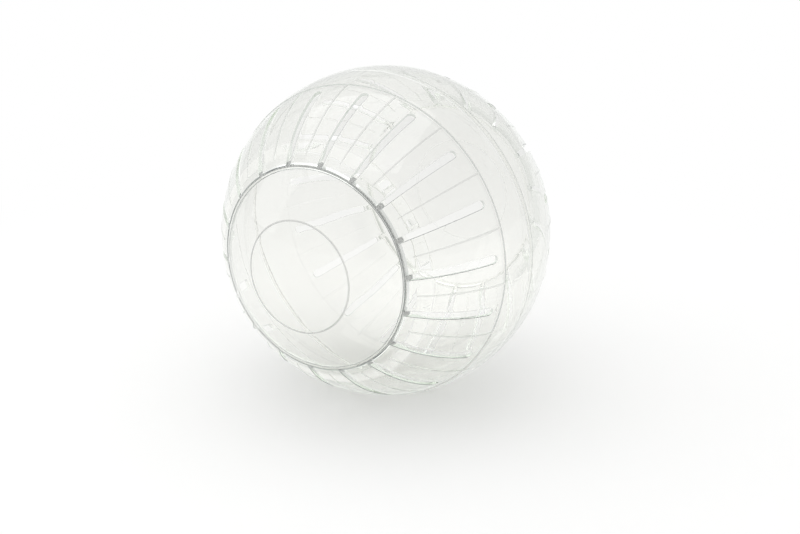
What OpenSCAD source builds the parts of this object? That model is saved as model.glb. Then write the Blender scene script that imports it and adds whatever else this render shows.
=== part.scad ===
// Clear plastic exercise ball for a hamster: two slotted half shells that plug together at
// the middle, and a domed round door in the outer end of each.
// The origin is the ball's centre, the doors' common axis lies along Y with the front door
// towards -Y, and +Z is up.

/* [Ball] */
// Outside diameter over the plain band round the middle
ball_d = 178; // [164:1:210]
// Thickness of the moulded skin
wall = 1.6; // [1.2:0.1:2.2]
// How far the band stands out from the slotted skin
band_proud = 0.4; // [0.2:0.1:0.8]
// Width of the band on each half, measured along the axis
band_w = 23.4; // [14:0.2:28]

/* [Slots and ribs] */
// Air slots round each half, each with a door lug at its inner end
slot_n = 18; // [12:2:24]
// Angle about the axis that one slot takes up, in degrees
slot_arc = 3; // [2:0.1:5]
// Plain skin left between a slot's outer end and the band, measured along the axis
slot_land = 5; // [2:0.2:10]
// Turn of the front half's first slot from straight up, in degrees
slot_turn = 4; // [0:1:20]
// Width of the fine rib midway between two slots
rib_w = 0.7; // [0.4:0.1:1.4]
// Height of a rib above the skin
rib_h = 0.3; // [0.1:0.1:0.8]
// Distance of a rib's inner end from the door opening
rib_start = 4; // [3:0.5:12]

/* [Door] */
// Diameter of a door without its lugs
door_d = 108.8; // [90:0.2:116]
// Gap all round a door's edge
door_gap = 0.5; // [0.3:0.1:1]
// How far a lug reaches out from the door's edge
lug_l = 2.2; // [1.6:0.2:4]
// Gap on each side of a lug, beyond its tip and under the door
lug_gap = 0.3; // [0.2:0.05:0.5]
// How much deeper a lug's pocket is than the seat beside it
pocket_relief = 0.2; // [0.1:0.05:0.4]
// Width of the seat that the door's edge rests on
seat_w = 2.1; // [0.8:0.1:3]
// Thickness of the seat ring
seat_t = 1.3; // [0.8:0.1:2.4]
// Length over which the thick rim thins out to the skin
rim_taper = 4.5; // [2:0.5:8]
// Diameter of the fine circle moulded on the door
circle_d = 59.6; // [30:0.2:80]
// Width of the raised line of that circle
circle_w = 0.8; // [0.4:0.1:1.6]
// Height of the raised line
circle_h = 0.3; // [0.1:0.1:0.6]

/* [Seam] */
// Gap between the two halves where their outer edges meet
seam_gap = 0.2; // [0.1:0.05:0.5]
// Length of the rear half's tongue inside the front half
tongue_l = 2; // [1:0.2:5]
// Thickness of the tongue
tongue_t = 0.85; // [0.5:0.05:1]
// Gap between the tongue and the front half
tongue_gap = 0.2; // [0.1:0.05:0.4]

/* [Hidden] */
$fn = 96;

// Everything is turned on the ball's axis, and both halves use the same angles.
quarter_turn = 90;
half_turn = 180;
full_turn = 360;
half_share = 0.5;

band_r = ball_d * half_share;
skin_r = band_r - band_proud;
inner_r = skin_r - wall;
door_r = door_d * half_share;
hole_r = door_r + door_gap;
seat_top_r = inner_r - lug_gap;
seat_bottom_r = seat_top_r - seat_t;
seat_in_r = door_r - seat_w;
pocket_r = door_r + lug_l + lug_gap;
rim_r = pocket_r + seat_w;
tongue_r = inner_r + tongue_t;
slot_pitch = full_turn / slot_n;
// Longer than any wall that a cut goes through
overrun = wall + seat_t;

// Polar angle from the axis of the point at distance r off the axis on a sphere
function polar(r, sphere_r) = asin(r / sphere_r);
// Angle about the axis of a length w at distance r from it
function arc_of(w, r) = w / (PI * (r + r)) * full_turn;
// Point of the half section at a polar angle
function at(sphere_r, a) = [sphere_r * sin(a), sphere_r * cos(a)];

slot_end_z = band_w + slot_land;
slot_end_a = acos(slot_end_z / skin_r);
slot_end_w = (skin_r + skin_r) * sin(slot_end_a) * sin(slot_arc * half_share);
slot_round_a = slot_end_a - arc_of(slot_end_w * half_share, skin_r);
lug_arc = slot_arc - arc_of(lug_gap + lug_gap, door_r);
rib_start_r = hole_r + rib_start;
rib_arc = arc_of(rib_w, rib_start_r);
circle_r = circle_d * half_share;

// Stretch of a spherical wall between two distances from the axis, in half section.
module wall_section(outer, inner, from_r, to_r) {
    intersection() {
        difference() {
            circle(r = outer);
            circle(r = inner);
        }
        translate([from_r, 0]) square([to_r - from_r, ball_d]);
    }
}

// The hollow inside. The rim reaches into it round the doorway and thins out to the skin.
module hollow_section() {
    start_a = polar(rim_r, seat_bottom_r);
    end_a = start_a + arc_of(rim_taper, seat_bottom_r);
    circle(r = seat_bottom_r);
    intersection() {
        circle(r = inner_r);
        polygon([
            [0, 0],
            at(seat_bottom_r, start_a),
            at(inner_r, end_a),
            at(ball_d, end_a),
            [ball_d, -ball_d],
            [0, -ball_d]
        ]);
    }
}

// The doorway, and the recess above its seat that the door's edge lies in.
module doorway_section() {
    square([seat_in_r, ball_d]);
    difference() {
        square([hole_r, ball_d]);
        circle(r = seat_top_r);
    }
}

// Outline of a half: the slotted skin, and the band that stands out from it at the seam.
module outer_section() {
    intersection() {
        union() {
            circle(r = skin_r);
            intersection() {
                circle(r = band_r);
                square([ball_d, band_w]);
            }
        }
        translate([0, seam_gap * half_share]) square([ball_d, ball_d]);
    }
}

// Part of a ball of radius r from reach_down below the seam to reach_up above it.
module seam_section(r, reach_down, reach_up) {
    intersection() {
        circle(r = r);
        translate([0, -reach_down]) square([ball_d, reach_down + reach_up]);
    }
}

// Half section of a half shell without its slots, with the axis along the second direction.
module half_section(has_tongue) {
    difference() {
        union() {
            outer_section();
            if (has_tongue) seam_section(tongue_r, tongue_l, band_w);
        }
        hollow_section();
        doorway_section();
        if (!has_tongue) seam_section(tongue_r + tongue_gap, 0, tongue_l + tongue_gap);
    }
}

// One slot, with a lug's pocket at its inner end and a round outer end near the band.
module slot_cut() {
    rotate([0, 0, -slot_arc * half_share]) rotate_extrude(angle = slot_arc) {
        wall_section(band_r + overrun, seat_top_r - pocket_relief, door_r, pocket_r + overrun);
        intersection() {
            wall_section(band_r + overrun, seat_bottom_r - overrun, pocket_r, ball_d);
            polygon([[0, 0], at(ball_d, 0), at(ball_d, slot_round_a)]);
        }
    }
    rotate([0, slot_round_a, 0]) translate([0, 0, inner_r - overrun])
        cylinder(d = slot_end_w, h = wall + overrun + overrun);
}

module rib() {
    rotate([0, 0, -rib_arc * half_share]) rotate_extrude(angle = rib_arc) difference() {
        wall_section(skin_r + rib_h, skin_r - wall * half_share, rib_start_r, ball_d);
        square([ball_d, band_w - rib_h]);
    }
}

// Repeats a child at every slot, or at an angle from every slot.
module round_axis(offset_a) {
    for (i = [0 : slot_n - 1]) rotate([0, 0, i * slot_pitch + offset_a]) children();
}

// A half shell with its door end towards +Z and its first slot towards +X.
module half_shell(has_tongue) {
    difference() {
        rotate_extrude() half_section(has_tongue);
        round_axis(0) slot_cut();
    }
    round_axis(slot_pitch * half_share) rib();
}

// A door with its outside towards +Z and its first lug towards +X. The cuts leave the lugs.
module door() {
    difference() {
        rotate_extrude() {
            wall_section(skin_r, inner_r, 0, door_r + lug_l);
            wall_section(skin_r + circle_h, inner_r + wall * half_share,
                circle_r - circle_w * half_share, circle_r + circle_w * half_share);
        }
        round_axis(lug_arc * half_share) rotate_extrude(angle = slot_pitch - lug_arc)
            wall_section(band_r + overrun, inner_r - overrun, door_r, pocket_r);
    }
}

// Stands a piece on the ball's axis with its outside to the front, turned from straight up
// towards +X.
module facing_front(turn) {
    rotate([quarter_turn, turn - quarter_turn, 0]) children();
}

// The same piece at the back. Its slots lie midway between those of the front.
module facing_rear() {
    rotate([0, 0, half_turn]) facing_front(-slot_turn - slot_pitch * half_share) children();
}

module front_half_shell() { color([0.86, 0.88, 0.86, 0.4]) facing_front(slot_turn) half_shell(false); }
module rear_half_shell() { color([0.84, 0.87, 0.86, 0.4]) facing_rear() half_shell(true); }
module front_door() { color([0.8, 0.86, 0.9, 0.4]) facing_front(slot_turn) door(); }
module rear_door() { color([0.8, 0.86, 0.9, 0.4]) facing_rear() door(); }

front_half_shell();
rear_half_shell();
front_door();
rear_door();
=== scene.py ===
import bpy
import bmesh
from math import acos, asin, atan2, cos, degrees, hypot, radians, sin, sqrt
from mathutils import Matrix, Vector, noise


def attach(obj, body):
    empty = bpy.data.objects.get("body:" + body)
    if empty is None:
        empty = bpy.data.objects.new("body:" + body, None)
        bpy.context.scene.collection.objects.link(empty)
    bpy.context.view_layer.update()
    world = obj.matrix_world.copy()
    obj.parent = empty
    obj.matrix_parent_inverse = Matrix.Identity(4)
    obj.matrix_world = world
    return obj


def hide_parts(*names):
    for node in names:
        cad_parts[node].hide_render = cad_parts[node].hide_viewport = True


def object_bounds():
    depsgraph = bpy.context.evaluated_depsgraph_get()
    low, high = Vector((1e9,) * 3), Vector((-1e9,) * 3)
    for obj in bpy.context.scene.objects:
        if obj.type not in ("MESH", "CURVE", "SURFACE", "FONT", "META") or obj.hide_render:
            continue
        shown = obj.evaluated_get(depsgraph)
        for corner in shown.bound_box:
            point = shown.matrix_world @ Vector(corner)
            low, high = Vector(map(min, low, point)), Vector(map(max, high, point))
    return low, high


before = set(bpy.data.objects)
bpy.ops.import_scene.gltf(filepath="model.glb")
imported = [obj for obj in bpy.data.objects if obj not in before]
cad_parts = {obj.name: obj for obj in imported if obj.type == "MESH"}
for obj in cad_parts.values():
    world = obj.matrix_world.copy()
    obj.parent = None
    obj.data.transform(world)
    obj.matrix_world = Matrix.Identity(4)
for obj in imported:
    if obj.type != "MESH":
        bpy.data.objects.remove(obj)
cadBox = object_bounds()
mm = 0.001

# The camera stands where the photograph was taken from. Millimetres and degrees.
view = {
    "azimuth": 31.3,
    "elevation": 20.54,
    "distance": 973.6,
    "right": 7.5,  # how far it stands to the right of the line through the ball's centre
    "below": 19.8,  # and how far below that line
    "focalPixels": 1800,
    "pictureWidth": 800,
    "sensor": 36,
}


def makeCamera():
    a, e = radians(view["azimuth"]), radians(view["elevation"])
    back = Vector((sin(a) * cos(e), -cos(a) * cos(e), sin(e)))
    right = Vector((cos(a), sin(a), 0))
    up = back.cross(right)
    camera = bpy.data.objects.new("camera", bpy.data.cameras.new("camera"))
    bpy.context.scene.collection.objects.link(camera)
    camera.data.sensor_width = view["sensor"]
    camera.data.lens = view["focalPixels"] / view["pictureWidth"] * view["sensor"]
    camera.location = (back * view["distance"] + right * view["right"] - up * view["below"]) * mm
    camera.rotation_mode = "QUATERNION"
    camera.rotation_quaternion = (-back).to_track_quat("-Z", "Y")
    bpy.context.scene.camera = camera


makeCamera()
print("camera placed")

# Soft studio light: a pale room that is a little darker high up, a wide glow overhead and two
# weak panels.
studio = {
    "roomPale": 0.8,
    "roomDark": 0.72,
    "darkFrom": 0.35,  # height of a direction above the horizon, as its z
    "darkTo": 0.85,
    "seen": 1.0,  # strength of the room where the camera sees it, which is white
    "glow": 0.36,
    "glowTowards": (-0.3, -0.15, 0.94),
    "glowEdge": 0.3,  # where the glow ends, as the cosine of its angle from that direction
    "panels": [  # name, place in metres, width, height, power
        ("overheadPanel", (-0.4, -0.1, 1.7), 2.2, 2.2, 8.0),
        ("leftPanel", (-1.7, -0.9, 0.7), 1.0, 1.4, 1.5),
    ],
}


def makePanels():
    for name, place, width, height, power in studio["panels"]:
        lamp = bpy.data.lights.new(name, "AREA")
        lamp.shape = "RECTANGLE"
        lamp.size = width
        lamp.size_y = height
        lamp.energy = power
        panel = bpy.data.objects.new(name, lamp)
        bpy.context.scene.collection.objects.link(panel)
        panel.location = place
        panel.rotation_mode = "QUATERNION"
        panel.rotation_quaternion = (-Vector(place)).to_track_quat("-Z", "Y")


def makeRoom():
    world = bpy.data.worlds.new("paleRoom")
    bpy.context.scene.world = world
    world.use_nodes = True
    nodes, links = world.node_tree.nodes, world.node_tree.links
    nodes.clear()
    direction = nodes.new("ShaderNodeTexCoord")
    split = nodes.new("ShaderNodeSeparateXYZ")
    fade = nodes.new("ShaderNodeMapRange")
    fade.interpolation_type = "SMOOTHSTEP"
    fade.inputs["From Min"].default_value = studio["darkFrom"]
    fade.inputs["From Max"].default_value = studio["darkTo"]
    fade.inputs["To Min"].default_value = studio["roomPale"]
    fade.inputs["To Max"].default_value = studio["roomDark"]
    towards = nodes.new("ShaderNodeVectorMath")
    towards.operation = "DOT_PRODUCT"
    towards.inputs[1].default_value = Vector(studio["glowTowards"]).normalized()
    glow = nodes.new("ShaderNodeMapRange")
    glow.interpolation_type = "SMOOTHSTEP"
    glow.inputs["From Min"].default_value = studio["glowEdge"]
    glow.inputs["To Max"].default_value = studio["glow"]
    both = nodes.new("ShaderNodeMath")
    path = nodes.new("ShaderNodeLightPath")
    seen = nodes.new("ShaderNodeMix")
    seen.inputs["B"].default_value = studio["seen"]
    room = nodes.new("ShaderNodeBackground")
    room.inputs["Color"].default_value = (1, 1, 1, 1)
    output = nodes.new("ShaderNodeOutputWorld")
    links.new(direction.outputs["Generated"], split.inputs[0])
    links.new(split.outputs["Z"], fade.inputs["Value"])
    links.new(direction.outputs["Generated"], towards.inputs[0])
    links.new(towards.outputs["Value"], glow.inputs["Value"])
    links.new(fade.outputs["Result"], both.inputs[0])
    links.new(glow.outputs["Result"], both.inputs[1])
    links.new(path.outputs["Is Camera Ray"], seen.inputs["Factor"])
    links.new(both.outputs[0], seen.inputs["A"])
    links.new(seen.outputs["Result"], room.inputs["Strength"])
    links.new(room.outputs[0], output.inputs["Surface"])


makePanels()
makeRoom()
bpy.context.scene.view_settings.view_transform = "Standard"
print("studio lit")

floorSheet = {
    "reach": 6.0,  # metres from its middle to an edge
    "colour": (0.93, 0.93, 0.925, 1),
    "plainFrom": 0.16,  # metres from the ball's centre where it starts to turn plain white
    "plainTo": 0.42,
    "plainSeen": 1.0,  # strength of that plain white
    "plainThrough": 0.88,  # and where it is seen through plastic
}


def makeFloor():
    bm = bmesh.new()
    bmesh.ops.create_grid(bm, x_segments=1, y_segments=1, size=floorSheet["reach"])
    bmesh.ops.translate(bm, verts=bm.verts, vec=(0, 0, cadBox[0].z))
    mesh = bpy.data.meshes.new("floor")
    bm.to_mesh(mesh)
    bm.free()
    floor = bpy.data.objects.new("floor", mesh)
    bpy.context.scene.collection.objects.link(floor)

    paint = bpy.data.materials.new("paleFloor")
    paint.use_nodes = True
    nodes, links = paint.node_tree.nodes, paint.node_tree.links
    nodes.clear()
    lit = nodes.new("ShaderNodeBsdfDiffuse")
    lit.inputs["Color"].default_value = floorSheet["colour"]
    plain = nodes.new("ShaderNodeEmission")
    strength = nodes.new("ShaderNodeMix")
    strength.inputs["A"].default_value = floorSheet["plainSeen"]
    strength.inputs["B"].default_value = floorSheet["plainThrough"]
    place = nodes.new("ShaderNodeTexCoord")
    reach = nodes.new("ShaderNodeVectorMath")
    reach.operation = "LENGTH"
    fade = nodes.new("ShaderNodeMapRange")
    fade.interpolation_type = "SMOOTHSTEP"
    fade.inputs["From Min"].default_value = floorSheet["plainFrom"]
    fade.inputs["From Max"].default_value = floorSheet["plainTo"]
    path = nodes.new("ShaderNodeLightPath")
    seen = nodes.new("ShaderNodeMath")
    seen.operation = "MAXIMUM"
    seenThrough = nodes.new("ShaderNodeMath")
    seenThrough.operation = "MAXIMUM"
    both = nodes.new("ShaderNodeMath")
    both.operation = "MULTIPLY"
    mix = nodes.new("ShaderNodeMixShader")
    output = nodes.new("ShaderNodeOutputMaterial")
    links.new(place.outputs["Object"], reach.inputs[0])
    links.new(reach.outputs["Value"], fade.inputs["Value"])
    links.new(path.outputs["Is Camera Ray"], seen.inputs[0])
    links.new(path.outputs["Is Glossy Ray"], seen.inputs[1])
    links.new(seen.outputs[0], seenThrough.inputs[0])
    links.new(path.outputs["Is Transmission Ray"], seenThrough.inputs[1])
    links.new(path.outputs["Is Transmission Ray"], strength.inputs["Factor"])
    links.new(strength.outputs["Result"], plain.inputs["Strength"])
    links.new(seenThrough.outputs[0], both.inputs[0])
    links.new(fade.outputs["Result"], both.inputs[1])
    links.new(both.outputs[0], mix.inputs["Fac"])
    links.new(lit.outputs[0], mix.inputs[1])
    links.new(plain.outputs[0], mix.inputs[2])
    links.new(mix.outputs[0], output.inputs["Surface"])
    mesh.materials.append(paint)


makeFloor()
print("floor laid")


# Shared effects are node groups.
def newGroup(name, numbers, result):
    group = bpy.data.node_groups.new(name, "ShaderNodeTree")
    for label in numbers:
        group.interface.new_socket(label, in_out="INPUT", socket_type="NodeSocketFloat")
    kind = "NodeSocketVector" if result == "Normal" else "NodeSocketFloat"
    group.interface.new_socket(result, in_out="OUTPUT", socket_type=kind)
    return group, group.nodes.new("NodeGroupInput"), group.nodes.new("NodeGroupOutput")


mouldFlow = {  # the ripples that the plastic keeps from its flow into the mould
    "slowDetail": 1.5,
    "slowBend": 0.6,
    "fineScale": 420,
    "fineDetail": 2,
}


def makeMouldRipple():
    group, given, made = newGroup("mouldRipple", ["Waves", "Depth", "Fine Depth"], "Normal")
    nodes, links = group.nodes, group.links
    place = nodes.new("ShaderNodeTexCoord")
    slow = nodes.new("ShaderNodeTexNoise")
    slow.inputs["Detail"].default_value = mouldFlow["slowDetail"]
    slow.inputs["Distortion"].default_value = mouldFlow["slowBend"]
    slowBump = nodes.new("ShaderNodeBump")
    fine = nodes.new("ShaderNodeTexNoise")
    fine.inputs["Scale"].default_value = mouldFlow["fineScale"]
    fine.inputs["Detail"].default_value = mouldFlow["fineDetail"]
    fineBump = nodes.new("ShaderNodeBump")
    links.new(place.outputs["Object"], slow.inputs["Vector"])
    links.new(given.outputs["Waves"], slow.inputs["Scale"])
    links.new(slow.outputs["Fac"], slowBump.inputs["Height"])
    links.new(given.outputs["Depth"], slowBump.inputs["Distance"])
    links.new(place.outputs["Object"], fine.inputs["Vector"])
    links.new(fine.outputs["Fac"], fineBump.inputs["Height"])
    links.new(given.outputs["Fine Depth"], fineBump.inputs["Distance"])
    links.new(slowBump.outputs["Normal"], fineBump.inputs["Normal"])
    links.new(fineBump.outputs["Normal"], made.inputs["Normal"])
    return group


wear = {  # smudges from hands, with hair scratches inside them
    "smudgeDetail": 5,
    "smudgeRoughness": 0.65,
    "smudgeFrom": 0.52,  # noise at which a smudge begins
    "smudgeFull": 0.72,
    "scratchScale": 90,
    "scratchWidth": 0.012,
}


def makeHandlingMarks():
    group, given, made = newGroup("handlingMarks", ["Spread", "Amount"], "Mask")
    nodes, links = group.nodes, group.links
    place = nodes.new("ShaderNodeTexCoord")
    smudge = nodes.new("ShaderNodeTexNoise")
    smudge.inputs["Detail"].default_value = wear["smudgeDetail"]
    smudge.inputs["Roughness"].default_value = wear["smudgeRoughness"]
    patch = nodes.new("ShaderNodeMapRange")
    patch.inputs["From Min"].default_value = wear["smudgeFrom"]
    patch.inputs["From Max"].default_value = wear["smudgeFull"]
    hair = nodes.new("ShaderNodeTexVoronoi")
    hair.feature = "DISTANCE_TO_EDGE"
    hair.inputs["Scale"].default_value = wear["scratchScale"]
    line = nodes.new("ShaderNodeMapRange")
    line.inputs["From Max"].default_value = wear["scratchWidth"]
    line.inputs["To Min"].default_value = 1.0
    line.inputs["To Max"].default_value = 0.0
    scratched = nodes.new("ShaderNodeMath")
    scratched.operation = "MULTIPLY"
    most = nodes.new("ShaderNodeMath")
    most.operation = "MAXIMUM"
    share = nodes.new("ShaderNodeMath")
    share.operation = "MULTIPLY"
    links.new(place.outputs["Object"], smudge.inputs["Vector"])
    links.new(given.outputs["Spread"], smudge.inputs["Scale"])
    links.new(smudge.outputs["Fac"], patch.inputs["Value"])
    links.new(smudge.outputs["Color"], hair.inputs["Vector"])
    links.new(hair.outputs["Distance"], line.inputs["Value"])
    links.new(line.outputs["Result"], scratched.inputs[0])
    links.new(patch.outputs["Result"], scratched.inputs[1])
    links.new(scratched.outputs[0], most.inputs[0])
    links.new(patch.outputs["Result"], most.inputs[1])
    links.new(most.outputs[0], share.inputs[0])
    links.new(given.outputs["Amount"], share.inputs[1])
    links.new(share.outputs[0], made.inputs["Mask"])
    return group


mouldRipple = makeMouldRipple()
handlingMarks = makeHandlingMarks()

shellPlastic = {
    "clean": (0.985, 0.985, 0.97, 1),
    "marked": (0.96, 0.962, 0.948, 1),
    "edge": (0.07, 0.076, 0.082, 1),  # painted shade at edges, lugs and raised lines: a dark colour standing in for the dark lines that light bent through the plastic draws there
    "caught": (0.9, 0.915, 0.9, 1),  # what light that was caught inside a wall keeps
    "roughness": (0.0, 0.05),  # where it is clean, and where it is marked
    "edgeRoughness": 0.3,
    "waves": 36,  # about how many slow ripples a metre holds
    "depth": 0.00006,  # their depth in metres
    "fineDepth": 0.000003,
    "markSpread": 22,
    "markAmount": 1.0,
    "shade": (0.92, 0.922, 0.918, 1),  # what each surface passes on to a shadow
    "depthTint": (0.69, 0.76, 0.65, 1),
    "density": 14,
}
doorPlastic = {
    **shellPlastic,
    "marked": (0.96, 0.962, 0.95, 1),
    # painted shade at the door's edges, lugs and raised line
    "edge": (0.065, 0.072, 0.082, 1),
    "waves": 28,
    "markSpread": 26,
    "depthTint": (0.69, 0.76, 0.66, 1),
    "density": 13,
}
wallLight = {
    "index": 1.58,  # both plastics' index of refraction
    "reflections": 1.5,  # light caught inside a wall is let out of it after more than these
    "letOutIndex": 1.0,  # on its way out it isn't bent
}


def clearPlastic(name, look):
    plastic = bpy.data.materials.new(name)
    plastic.use_nodes = True
    nodes, links = plastic.node_tree.nodes, plastic.node_tree.links
    nodes.clear()
    ripple = nodes.new("ShaderNodeGroup")
    ripple.node_tree = mouldRipple
    ripple.inputs["Waves"].default_value = look["waves"]
    ripple.inputs["Depth"].default_value = look["depth"]
    ripple.inputs["Fine Depth"].default_value = look["fineDepth"]
    marks = nodes.new("ShaderNodeGroup")
    marks.node_tree = handlingMarks
    marks.inputs["Spread"].default_value = look["markSpread"]
    marks.inputs["Amount"].default_value = look["markAmount"]
    tint = nodes.new("ShaderNodeMix")
    tint.data_type = "RGBA"
    tint.inputs["A"].default_value = look["clean"]
    tint.inputs["B"].default_value = look["marked"]
    haze = nodes.new("ShaderNodeMapRange")
    haze.inputs["To Min"].default_value = look["roughness"][0]
    haze.inputs["To Max"].default_value = look["roughness"][1]
    # The edge attribute paints shade: where it is set, and only seen from outside, the colour turns
    # towards the dark edge colour and the surface gets rougher.
    edge = nodes.new("ShaderNodeAttribute")
    edge.attribute_name = "edgeShadeAndHaze"
    side = nodes.new("ShaderNodeNewGeometry")
    fromOutside = nodes.new("ShaderNodeMath")
    fromOutside.operation = "SUBTRACT"
    fromOutside.inputs[0].default_value = 1.0
    edgeSeen = nodes.new("ShaderNodeMath")
    edgeSeen.operation = "MULTIPLY"
    paintedEdgeShade = nodes.new("ShaderNodeMix")
    paintedEdgeShade.data_type = "RGBA"
    paintedEdgeShade.inputs["B"].default_value = look["edge"]
    edgeHaze = nodes.new("ShaderNodeMix")
    edgeHaze.inputs["B"].default_value = look["edgeRoughness"]
    clear = nodes.new("ShaderNodeBsdfPrincipled")
    clear.inputs["IOR"].default_value = wallLight["index"]
    clear.inputs["Transmission Weight"].default_value = 1.0
    lamps = nodes.new("ShaderNodeBsdfTransparent")
    lamps.inputs["Color"].default_value = look["shade"]
    path = nodes.new("ShaderNodeLightPath")
    caught = nodes.new("ShaderNodeMath")
    caught.operation = "GREATER_THAN"
    caught.inputs[1].default_value = wallLight["reflections"]
    letOut = nodes.new("ShaderNodeBsdfPrincipled")
    letOut.inputs["Base Color"].default_value = look["caught"]
    letOut.inputs["Roughness"].default_value = 0
    letOut.inputs["IOR"].default_value = wallLight["letOutIndex"]
    letOut.inputs["Transmission Weight"].default_value = 1.0
    body = nodes.new("ShaderNodeMixShader")
    mix = nodes.new("ShaderNodeMixShader")
    depth = nodes.new("ShaderNodeVolumeAbsorption")
    depth.inputs["Color"].default_value = look["depthTint"]
    depth.inputs["Density"].default_value = look["density"]
    output = nodes.new("ShaderNodeOutputMaterial")
    links.new(marks.outputs["Mask"], tint.inputs["Factor"])
    links.new(marks.outputs["Mask"], haze.inputs["Value"])
    links.new(side.outputs["Backfacing"], fromOutside.inputs[1])
    links.new(fromOutside.outputs[0], edgeSeen.inputs[0])
    links.new(edge.outputs["Fac"], edgeSeen.inputs[1])
    links.new(edgeSeen.outputs[0], paintedEdgeShade.inputs["Factor"])
    links.new(tint.outputs["Result"], paintedEdgeShade.inputs["A"])
    links.new(paintedEdgeShade.outputs["Result"], clear.inputs["Base Color"])
    links.new(edgeSeen.outputs[0], edgeHaze.inputs["Factor"])
    links.new(haze.outputs["Result"], edgeHaze.inputs["A"])
    links.new(edgeHaze.outputs["Result"], clear.inputs["Roughness"])
    links.new(ripple.outputs["Normal"], clear.inputs["Normal"])
    links.new(path.outputs["Glossy Depth"], caught.inputs[0])
    links.new(caught.outputs[0], body.inputs["Fac"])
    links.new(clear.outputs[0], body.inputs[1])
    links.new(letOut.outputs[0], body.inputs[2])
    links.new(path.outputs["Is Shadow Ray"], mix.inputs["Fac"])
    links.new(body.outputs[0], mix.inputs[1])
    links.new(lamps.outputs[0], mix.inputs[2])
    links.new(mix.outputs[0], output.inputs["Surface"])
    links.new(depth.outputs[0], output.inputs["Volume"])
    return plastic


clearShell = clearPlastic("clearShell", shellPlastic)
clearDoor = clearPlastic("clearDoor", doorPlastic)
print("plastics mixed")

# Sizes that the halves and the doors share, in millimetres and degrees
ball = {
    "radius": 89.0,
    "bandProud": 0.4,
    "wall": 1.6,
    "slots": 18,
    "slotAngle": 3.0,
    "firstSlot": 4.0,  # the front half's, clockwise from straight up
    "doorRadius": 54.4,
    "lugLength": 2.2,
    "lugGap": 0.3,
    "waves": 55,  # unevenness of the inside, which shrank from the mould
    "waveDepth": 0.05,
}
skin = ball["radius"] - ball["bandProud"]
inner = skin - ball["wall"]
pitch = 360 / ball["slots"]
shaping = {
    "arcStep": 1.5,  # degrees between two points of a round stretch, about
    "sameSpot": 0.01,  # points closer together than this are one
    "sameAngle": 0.01,  # and so are angles
    "shortest": 0.001,  # an edge under this length is dissolved
    "onSphere": 0.02,  # a point closer to a sphere than this lies on it
    "nearby": 0.1,  # how far a face's middle may lie off the place it belongs to
    "cornerFrom": 50,  # angle between two faces from which their edge is a corner
    "wallUnder": 0.3,  # a face whose alongSkin is under this is on a wall
    "skinOver": 0.93,  # and over this on the skin
}


# Outlines of the turned pieces: points (distance from the axis, distance along it), with
# angles at the ball's centre, measured from the axis.
def angleAt(distance, radius):
    return degrees(asin(distance / radius))


def angleAlong(along, radius):
    return degrees(acos(along / radius))


def onBall(radius, angle):
    return radius * sin(radians(angle)), radius * cos(radians(angle))


def arc(radius, start, end, steps=None):
    steps = steps or max(1, round(abs(end - start) / shaping["arcStep"]))
    return [onBall(radius, start + (end - start) * i / steps) for i in range(steps + 1)]


def apart(point, other):
    return hypot(point[0] - other[0], point[1] - other[1]) > shaping["sameSpot"]


def joined(*stretches):
    outline = []
    for stretch in stretches:
        for point in stretch:
            if not outline or apart(point, outline[-1]):
                outline.append(point)
    return outline


def spinOutline(bm, outline, start, end, steps, closed=True):
    earlier = len(bm.verts)
    turn = Matrix.Rotation(radians(start), 3, "Z")
    verts = [bm.verts.new(turn @ Vector((r * mm, 0, z * mm))) for r, z in outline]
    edges = [bm.edges.new(pair) for pair in zip(verts, verts[1:])]
    if closed:
        edges.append(bm.edges.new((verts[-1], verts[0])))
    bmesh.ops.spin(bm, geom=verts + edges, cent=(0, 0, 0), axis=(0, 0, 1),
                   angle=radians(end - start), steps=steps, use_merge=False)
    return list(bm.verts)[earlier:]


def repeatRound(bm):
    everything = list(bm.verts) + list(bm.edges) + list(bm.faces)
    bmesh.ops.spin(bm, geom=everything, cent=(0, 0, 0), axis=(0, 0, 1),
                   angle=radians(360 - pitch), steps=ball["slots"] - 1, use_duplicate=True)


def closeUp(bm):
    bmesh.ops.remove_doubles(bm, verts=bm.verts, dist=shaping["sameSpot"] * mm)
    bmesh.ops.dissolve_degenerate(bm, edges=bm.edges, dist=shaping["shortest"] * mm)
    bmesh.ops.holes_fill(bm, edges=[e for e in bm.edges if e.is_boundary], sides=0)
    bmesh.ops.recalc_face_normals(bm, faces=bm.faces)


def unevenInside(bm):
    for v in bm.verts:
        if abs(v.co.length - inner * mm) < shaping["onSphere"] * mm:
            depth = noise.noise(v.co * ball["waves"]) * ball["waveDepth"]
            v.co += v.co.normalized() * depth * mm


def roundCorners(bm, width, wanted):
    corners = [e for e in bm.edges if e.is_manifold and e.is_convex
               and e.calc_face_angle() > radians(shaping["cornerFrom"]) and wanted(e)]
    bmesh.ops.bevel(bm, geom=corners, affect="EDGES", offset_type="OFFSET", offset=width * mm,
                    segments=2, profile=0.5, material=-1, clamp_overlap=False)


def standUp(turn, behind=False):
    # turns the axis from Z to Y, with the outside to the front or to the back
    stand = Matrix.Rotation(radians(turn - 90), 4, "Y") @ Matrix.Rotation(radians(90), 4, "X")
    return Matrix.Rotation(radians(180 if behind else 0), 4, "Z") @ stand


def alongSkin(face):
    # 1 on the skin, 0 on a wall that crosses it, and between them on a rounded corner
    return abs(face.normal.dot(face.calc_center_median().normalized()))


def fromAxis(face):
    middle = face.calc_center_median()
    return hypot(middle.x, middle.y) / mm


def fromSlot(face):
    # degrees from the middle of the nearest slot, below zero on its clockwise side
    middle = face.calc_center_median()
    return (degrees(atan2(middle.y, middle.x)) + pitch / 2) % pitch - pitch / 2


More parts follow.
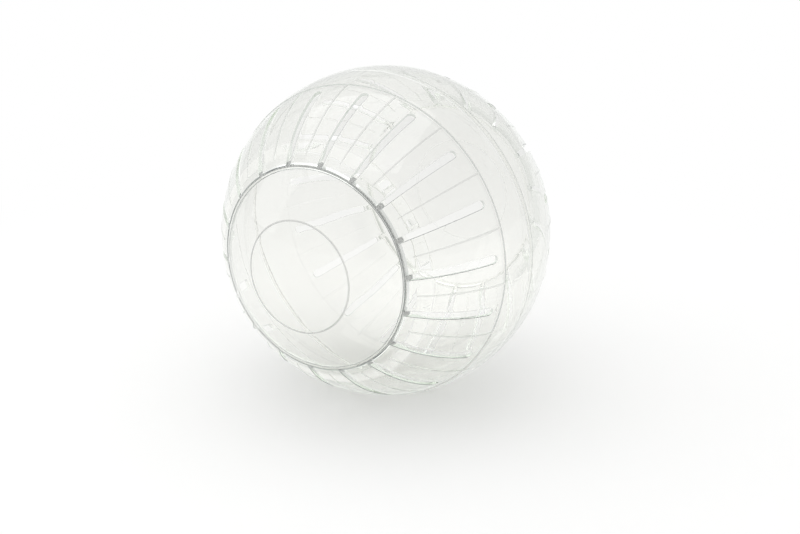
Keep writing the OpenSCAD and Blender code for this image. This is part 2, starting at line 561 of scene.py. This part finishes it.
def finishPiece(bm, name, place, edgeShadeShare, material, body, node):
    bmesh.ops.recalc_face_normals(bm, faces=bm.faces)
    for edge in bm.edges:
        edge.smooth = not edge.is_manifold or edge.calc_face_angle() < radians(shaping["cornerFrom"])
    # each face keeps its share of painted edge shade, which also makes it rougher
    edgeShadeLayer = bm.faces.layers.float.new("edgeShadeAndHaze")
    for face in bm.faces:
        face.smooth = True
        face[edgeShadeLayer] = edgeShadeShare(face)
    bmesh.ops.transform(bm, matrix=place, verts=bm.verts)
    mesh = bpy.data.meshes.new(name)
    bm.to_mesh(mesh)
    bm.free()
    mesh.materials.append(material)
    piece = bpy.data.objects.new(name, mesh)
    bpy.context.scene.collection.objects.link(piece)
    evenShading = piece.modifiers.new("evenShading", "WEIGHTED_NORMAL")
    evenShading.keep_sharp = True
    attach(piece, body)
    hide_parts(node)
    print(name, "made with", len(mesh.polygons), "faces")


halfShell = {
    "bandWidth": 23.4,
    "slotLand": 5.0,
    "ribWidth": 0.7,
    "ribHeight": 0.3,
    "ribStart": 4.0,
    "doorGap": 0.5,
    "seatWidth": 2.1,
    "seatDepth": 1.3,
    "pocketRelief": 0.2,
    "rimTaper": 4.5,
    "seamGap": 0.2,
    "tongueLength": 2.0,
    "tongueThickness": 0.85,
    "tongueGap": 0.2,
    "bandRun": 0.6,  # length along the axis over which the skin climbs to the band
    "bandSteps": 6,  # steps of that climb
    "ribStep": 4,  # the one whose end is level with the ribs
    "pastSlot": 1.0,  # angle past a slot's end from which the outline is coarser
    "landSteps": 5,
    "seamSteps": 2,
    "slotTurns": 8,  # steps of the turn across a slot
    "pocketTurns": 3,  # across a lug's pocket
    "plainTurns": 5,  # from a slot to a rib
    "ribTurns": 2,  # across a rib
    "edge": 0.2,  # how far corners are rounded
    "fineEdge": 0.08,  # the same on the ribs and at the seam
    "ribTopDepth": 0.05,  # how far under its top a rib's edges still are fine ones
    "bandEnd": 0.99,  # share of the band's width past which they lie
    # Shares of painted shade: how far a face takes on the dark edge colour and edge roughness,
    # standing in for the dark lines that light bent through the plastic draws at edges.
    "seatLine": 0.35,  # width of the seat's edge that gets painted shade
    "slotShare": 0.12,  # how much painted shade a slot's clockwise side has, the side that light leaves darker
    "otherSlotShare": 0.0,  # the same on its other side and its end
    "cornerShare": 1.0,  # on the rounded corners beside the clockwise side
    "otherCornerShare": 0.04,  # and on all others
    "insideCornerShare": 0.4,  # part of these two that the corners inside the ball have
    "clockwise": 0.45,  # share of a slot's angle past which a face is at its clockwise side
    "outsideCorner": 2,  # how deep the corners outside the ball reach, in rounded widths
    "rimDepth": 0.5,  # how deep the outer part of the wall round the doorway reaches
    "rimShare": 1.0,  # on that part
    "deepRimShare": 0.1,  # and beneath it
    "seatShare": 1.0,  # on the seat's inner edge, and beneath the gap round the door
    "seamShare": 0.5,
    "seamDepth": 4,  # how deep that reaches into the seam, in rounded widths
    "ribShare": 0.28,
    "bandShare": 0.4,  # where the band begins
    "footShare": 0.14,  # painted soft shade beside that, fading out over a length
    "footLength": 2.6,
}


def bandClimb():
    climb, steps = [], halfShell["bandSteps"]
    for i in range(steps + 1):
        radius = skin + ball["bandProud"] * (1 - cos(radians(180 * i / steps))) / 2
        along = halfShell["bandWidth"] + halfShell["bandRun"] * (0.5 - i / steps)
        climb.append(onBall(radius, angleAlong(along, radius)))
    return climb


def halfOutlines(hasTongue):
    s = halfShell
    door, band = ball["doorRadius"], ball["radius"]
    hole = door + s["doorGap"]
    pocket = door + ball["lugLength"] + ball["lugGap"]
    seatTop = inner - ball["lugGap"]
    seatBottom = seatTop - s["seatDepth"]
    pocketFloor = seatTop - s["pocketRelief"]
    seatIn = door - s["seatWidth"]
    taperStart = angleAt(pocket + s["seatWidth"], seatBottom)
    taperEnd = taperStart + degrees(s["rimTaper"] / seatBottom)
    ribStart = angleAt(hole + s["ribStart"], skin)
    ribTop = skin + s["ribHeight"]
    slotEnd = angleAlong(s["bandWidth"] + s["slotLand"], skin)
    slotHalf = skin * sin(radians(slotEnd)) * sin(radians(ball["slotAngle"] / 2))
    slotRound = slotEnd - degrees(slotHalf / skin)
    pastSlot = slotEnd + s["pastSlot"]
    bandFoot = angleAlong(s["bandWidth"] + s["bandRun"] / 2, skin)
    bandEdge = angleAlong(s["bandWidth"] - s["bandRun"] / 2, band)
    lip = s["seamGap"] / 2

    skinToRib = joined(arc(skin, angleAt(hole, skin), angleAt(pocket, skin)),
                       arc(skin, angleAt(pocket, skin), ribStart))
    skinToLand = arc(skin, ribStart, slotRound)
    skinLand = joined(arc(skin, slotRound, pastSlot, 1), arc(skin, pastSlot, bandFoot, s["landSteps"]))
    climb = bandClimb()
    aboveRib = climb[s["ribStep"]:]
    ribLine = joined(arc(ribTop, ribStart, angleAlong(aboveRib[0][1], ribTop)), aboveRib)
    bandTop = arc(band, bandEdge, angleAlong(lip, band))
    if hasTongue:
        step, tip = inner + s["tongueThickness"], -s["tongueLength"]
    else:
        step = inner + s["tongueThickness"] + s["tongueGap"]
        tip = s["tongueLength"] + s["tongueGap"]
    seam = arc(step, angleAlong(lip, step), angleAlong(tip, step), s["seamSteps"])
    innerLand = joined(arc(inner, angleAlong(tip, inner), pastSlot),
                       arc(inner, pastSlot, slotRound, 1))
    underSlot = arc(inner, slotRound, taperEnd)
    underRim = [onBall(seatBottom, taperStart)]
    underSeat = arc(seatBottom, angleAt(pocket, seatBottom), angleAt(seatIn, seatBottom))
    seatFace = [onBall(seatTop, angleAt(r, seatTop)) for r in (seatIn, seatIn + s["seatLine"], door)]
    holeWall = [onBall(seatTop, angleAt(hole, seatTop)),
                (hole, onBall(skin, angleAt(hole, skin))[1] - s["rimDepth"])]
    floor = arc(pocketFloor, angleAt(door, pocketFloor), angleAt(pocket, pocketFloor))

    band = joined(skinLand, climb, bandTop, seam, innerLand)
    rim = joined(underSeat, seatFace)
    return {
        "plain": joined(skinToRib, skinToLand, band, underSlot, underRim, rim, holeWall),
        "ribbed": joined(skinToRib, ribLine, bandTop, seam, innerLand, underSlot, underRim, rim,
                         holeWall),
        "slotBand": band,
        "slotRim": joined(rim, floor),
        "slotRound": slotRound,
        "slotHalf": slotHalf,
        "ribHalf": degrees(s["ribWidth"] / (hole + s["ribStart"])) / 2,
        "ribTop": ribTop,
        "hole": hole,
        "seatHigh": seatTop - skin,
    }


def roundSlotEnd(verts, outlines):
    for v in verts:
        if abs(degrees(acos(v.co.z / v.co.length)) - outlines["slotRound"]) < shaping["sameAngle"]:
            aside = degrees(atan2(v.co.y, v.co.x))
            across = min(1, abs(aside) / (ball["slotAngle"] / 2))
            push = outlines["slotHalf"] / skin * sqrt(1 - across * across)
            sideways = Vector((-v.co.y, v.co.x, 0))
            v.co = Matrix.Rotation(push, 3, sideways) @ v.co


def makeHalf(name, node, hasTongue, place, body):
    s, outlines = halfShell, halfOutlines(hasTongue)
    slotEdge, ribHalf = ball["slotAngle"] / 2, outlines["ribHalf"]
    ribEdge, otherRibEdge = pitch / 2 - ribHalf, pitch / 2 + ribHalf
    bm = bmesh.new()
    slotEnd = spinOutline(bm, outlines["slotBand"], -slotEdge, slotEdge, s["slotTurns"])
    roundSlotEnd(slotEnd, outlines)
    spinOutline(bm, outlines["slotRim"], -slotEdge, slotEdge, s["pocketTurns"])
    spinOutline(bm, outlines["plain"], slotEdge, ribEdge, s["plainTurns"])
    spinOutline(bm, outlines["ribbed"], ribEdge, otherRibEdge, s["ribTurns"])
    spinOutline(bm, outlines["plain"], otherRibEdge, pitch - slotEdge, s["plainTurns"])
    repeatRound(bm)
    closeUp(bm)
    unevenInside(bm)

    def isFine(edge):
        low, bandEnd = outlines["ribTop"] - s["ribTopDepth"], s["bandWidth"] * mm * s["bandEnd"]
        return all(v.co.length > low * mm and v.co.z > bandEnd for v in edge.verts)

    def onSeat(out, high):
        lineEnd = ball["doorRadius"] - s["seatWidth"] + s["seatLine"]
        beneathGap = out > ball["doorRadius"]
        return abs(high - outlines["seatHigh"]) < s["edge"] and (beneathGap or out < lineEnd)

    # how much painted shade (and edge roughness) a face gets, most on the doorway's rim, the seat and
    # the clockwise side of each slot
    def edgeShadeShare(face):
        middle, flat = face.calc_center_median(), alongSkin(face)
        high, along = middle.length / mm - skin, middle.z / mm - s["bandWidth"]
        out = fromAxis(face)
        if out < outlines["hole"] - shaping["nearby"] and high > outlines["seatHigh"] - s["edge"]:
            return s["seatShare"] if onSeat(out, high) else 0.0
        if out < ball["doorRadius"]:
            return 0.0
        if out < outlines["hole"] + s["edge"] and high > outlines["seatHigh"]:
            return s["rimShare"] if high > -s["rimDepth"] else s["deepRimShare"]
        if flat < shaping["skinOver"] and along < -s["bandWidth"] / 2:
            return s["seamShare"] if high > -s["edge"] * s["seamDepth"] else 0.0
        if high > shaping["onSphere"] and abs(along) < s["bandRun"] / 2:
            return s["bandShare"] * flat
        if high > shaping["onSphere"] and along > 0:
            return s["ribShare"]
        isClockwise = fromSlot(face) < -ball["slotAngle"] * s["clockwise"]
        if shaping["wallUnder"] < flat < shaping["skinOver"]:
            part = 1 if high > -s["edge"] * s["outsideCorner"] else s["insideCornerShare"]
            return part * (s["cornerShare"] if isClockwise else s["otherCornerShare"])
        if flat < shaping["skinOver"]:
            return s["slotShare"] if isClockwise else s["otherSlotShare"]
        beside = 1 - (along - s["bandRun"] / 2) / s["footLength"]
        onSkin = high > -shaping["nearby"]
        return s["footShare"] * beside if 0 < beside < 1 and onSkin else 0.0

    def atSeam(edge):
        return all(v.co.z < s["bandWidth"] / 2 * mm for v in edge.verts)

    roundCorners(bm, s["fineEdge"], lambda edge: isFine(edge) or atSeam(edge))
    roundCorners(bm, s["edge"], lambda edge: not (isFine(edge) or atSeam(edge)))
    finishPiece(bm, name, place, edgeShadeShare, clearShell, body, node)


frontPlace = standUp(ball["firstSlot"])
rearPlace = standUp(-ball["firstSlot"] - pitch / 2, behind=True)
makeHalf("frontHalfSkin", "front_half_shell", False, frontPlace, "front_shell")
makeHalf("rearHalfSkin", "rear_half_shell", True, rearPlace, "rear_shell")

door = {
    "circle": 59.6,  # diameter of the fine raised line
    "circleWidth": 0.9,
    "circleHeight": 0.25,
    "circleSteps": 8,  # steps across that line
    "lugTurns": 2,  # steps of the turn across a lug
    "rimTurns": 9,  # and from one lug to the next
    "edge": 0.3,  # how far corners are rounded
    "lugEdge": 0.5,  # the same on top of the lugs
    "lugGap": 0.15,  # beside a lug, which fills its slot snugly
    "past": 1.01,  # share of a radius past which a point is outside it
    "circleShare": 0.5,  # how much painted shade the line has
    "rimWidth": 0.4,  # how far the rim's painted shade reaches onto the dome
    "rimDepth": 1.0,  # and how deep it reaches
    "rimMiddles": 0.8,  # share of that depth that its faces' middles reach
    "rimShare": 0.85,  # on the rim
    "deepRimShare": 0.1,  # and beneath it
    "rimSlack": 0.05,  # how far the middles of its faces may lie off the rim's wall
    "lugShare": 0.8,  # on the lugs, but not underneath
    "underneath": -0.5,  # how far a face is turned inwards there, as a cosine
}


def doorOutlines():
    edge, tip = ball["doorRadius"], ball["doorRadius"] + ball["lugLength"]
    line, half = door["circle"] / 2, door["circleWidth"] / 2
    dome = arc(skin, 0, angleAt(line - half, skin))
    bead = []
    for i in range(1, door["circleSteps"]):
        across = -cos(radians(i * 180 / door["circleSteps"]))
        height = door["circleHeight"] * sin(radians(i * 180 / door["circleSteps"]))
        bead.append(onBall(skin + height, angleAt(line + half * across, skin)))
    rimStart = angleAt(edge - door["rimWidth"], skin)
    skirt = joined(arc(skin, angleAt(line + half, skin), rimStart),
                   arc(skin, rimStart, angleAt(edge, skin), 1))
    rim = [(edge, skirt[-1][1] - door["rimDepth"])]
    under = arc(inner, angleAt(edge, inner), 0)
    lugTop = arc(skin, angleAt(edge, skin), angleAt(tip, skin), 1)
    lugUnder = arc(inner, angleAt(tip, inner), angleAt(edge, inner), 1)
    return {
        "plain": joined(dome, bead, skirt, rim, under),
        "lugged": joined(dome, bead, skirt, lugTop, lugUnder, under),
        "lugHalf": ball["slotAngle"] / 2 - degrees(door["lugGap"] / edge),
    }


def makeDoor(name, node, place, body):
    outlines = doorOutlines()
    lugHalf = outlines["lugHalf"]
    bm = bmesh.new()
    spinOutline(bm, outlines["lugged"], -lugHalf, lugHalf, door["lugTurns"], closed=False)
    spinOutline(bm, outlines["plain"], lugHalf, pitch - lugHalf, door["rimTurns"], closed=False)
    repeatRound(bm)
    closeUp(bm)
    unevenInside(bm)
    rim, slack = ball["doorRadius"], door["rimSlack"]

    def isLug(edge):
        return max(hypot(v.co.x, v.co.y) for v in edge.verts) > rim * mm * door["past"]

    def isLugTop(edge):
        return isLug(edge) and edge.verts[0].co.length > inner * mm * door["past"]

    # how much painted shade (and edge roughness) a face gets: on the lugs, the rim and the raised line
    def edgeShadeShare(face):
        middle = face.calc_center_median()
        high, out = middle.length / mm - skin, fromAxis(face)
        if out > rim + slack:
            isUnder = face.normal.dot(middle.normalized()) <= door["underneath"]
            return 0.0 if isUnder else door["lugShare"]
        if high > shaping["onSphere"]:
            return door["circleShare"]
        if out > rim - door["rimWidth"] and high > -door["rimDepth"] * door["rimMiddles"]:
            return door["rimShare"]
        return door["deepRimShare"] if out > rim - slack else 0.0

    roundCorners(bm, door["lugEdge"], isLugTop)
    roundCorners(bm, door["edge"], lambda edge: not isLug(edge))
    finishPiece(bm, name, place, edgeShadeShare, clearDoor, body, node)


makeDoor("frontDoorDome", "front_door", frontPlace, "front_door")
makeDoor("rearDoorDome", "rear_door", rearPlace, "rear_door")
